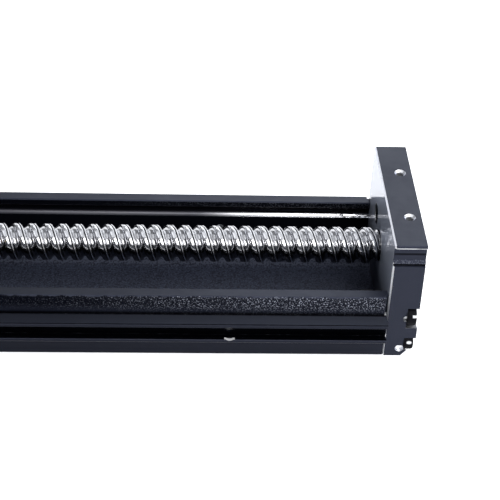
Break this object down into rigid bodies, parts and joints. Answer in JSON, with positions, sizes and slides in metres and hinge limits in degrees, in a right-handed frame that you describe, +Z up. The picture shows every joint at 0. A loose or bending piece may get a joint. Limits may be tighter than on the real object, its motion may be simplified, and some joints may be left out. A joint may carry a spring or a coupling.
{
  "type": "ball screw linear module",
  "caption": "Open channel linear module: two-start ball screw in a dark anodised body with ear slots, recirculating nut and carriage, fixed drive end and floating tail end plate.",
  "frame": {"origin": "middle of the channel body's underside, on the mounting surface", "axes": "+X along the screw towards the tail end plate, +Z up out of the open channel, +Y across to the far wall"},
  "size_m": [0.2685, 0.0676, 0.051],
  "materials": {
    "black_anodised": "satin blue-black anodised, bead-blasted faces, bare at machined chamfers",
    "ground_steel": "hardened and ground",
    "plated_fastener": "zinc-nickel plated socket screws",
    "bearing_steel": "ground bearing steel",
    "ball_steel": "polished chrome steel balls",
    "cage_brass": "machined brass",
    "nipple_brass": "turned brass",
    "black_oxide": "black oxide steel",
    "slide_steel": "ground steel block",
    "return_plastic": "moulded polyamide",
    "black_rubber": "moulded nitrile rubber"
  },
  "bodies": {
    "base": {"channel_body": "black_anodised", "rail_insert_front": "ground_steel", "rail_insert_rear": "ground_steel", "tail_plate": "black_anodised", "tail_plate_screws": "plated_fastener", "tail_bearing_outer_ring": "bearing_steel", "tail_bearing_shields": "bearing_steel", "drive_housing": "black_anodised", "drive_housing_screws": "plated_fastener", "drive_bearing_a_outer_ring": "bearing_steel", "drive_bearing_b_outer_ring": "bearing_steel", "bearing_cover": "black_anodised", "bearing_cover_screws": "plated_fastener", "shaft_seal": "black_rubber", "tail_bumpers": "black_rubber", "drive_bumpers": "black_rubber"},
    "screw": {"screw_shaft": "ground_steel", "drive_bearing_a_inner_ring": "bearing_steel", "drive_bearing_b_inner_ring": "bearing_steel", "tail_bearing_inner_ring": "bearing_steel", "tail_circlip": "black_oxide", "seal_collar": "bearing_steel", "clamp_collar": "bearing_steel", "lock_nut": "black_oxide", "lock_nut_set_screws": "black_oxide"},
    "drive_balls": {"drive_bearing_a_balls": "ball_steel", "drive_bearing_b_balls": "ball_steel", "drive_bearing_a_cage": "cage_brass", "drive_bearing_b_cage": "cage_brass"},
    "tail_balls": {"tail_bearing_balls": "ball_steel", "tail_bearing_cage": "cage_brass"},
    "carriage": {"slide_block": "slide_steel", "carriage_table": "black_anodised", "table_screws": "black_oxide", "ball_nut": "ground_steel", "nut_wipers": "black_rubber", "nut_balls": "ball_steel", "nut_return_plugs": "return_plastic", "nut_screws": "black_oxide", "return_caps_drive_end": "return_plastic", "return_caps_tail_end": "return_plastic", "end_seals_drive_end": "black_rubber", "end_seals_tail_end": "black_rubber", "return_cap_screws": "black_oxide", "guide_balls_front": "ball_steel", "guide_balls_rear": "ball_steel", "grease_nipple": "nipple_brass"}
  },
  "joints": [
    {"name": "carriage_slide", "type": "slide", "parent": "base", "child": "carriage", "axis": [1, 0, 0], "range_m": [0, 0.12]},
    {"name": "screw_spin", "type": "hinge", "parent": "base", "child": "screw", "pos_m": [0, 0, 0.0235], "axis": [-1, 0, 0], "range_deg": [0, 4400]},
    {"name": "drive_balls_spin", "type": "hinge", "parent": "base", "child": "drive_balls", "pos_m": [-0.115, 0, 0.0235], "axis": [-1, 0, 0], "range_deg": [0, 1640]},
    {"name": "tail_balls_spin", "type": "hinge", "parent": "base", "child": "tail_balls", "pos_m": [0.1085, 0, 0.0235], "axis": [-1, 0, 0], "range_deg": [0, 1770]}
  ],
  "couplings": [
    {"joint": "screw_spin", "follows": "carriage_slide", "rad_per_m": 628.32},
    {"joint": "drive_balls_spin", "follows": "carriage_slide", "rad_per_m": 232.48},
    {"joint": "tail_balls_spin", "follows": "carriage_slide", "rad_per_m": 251.33}
  ]
}
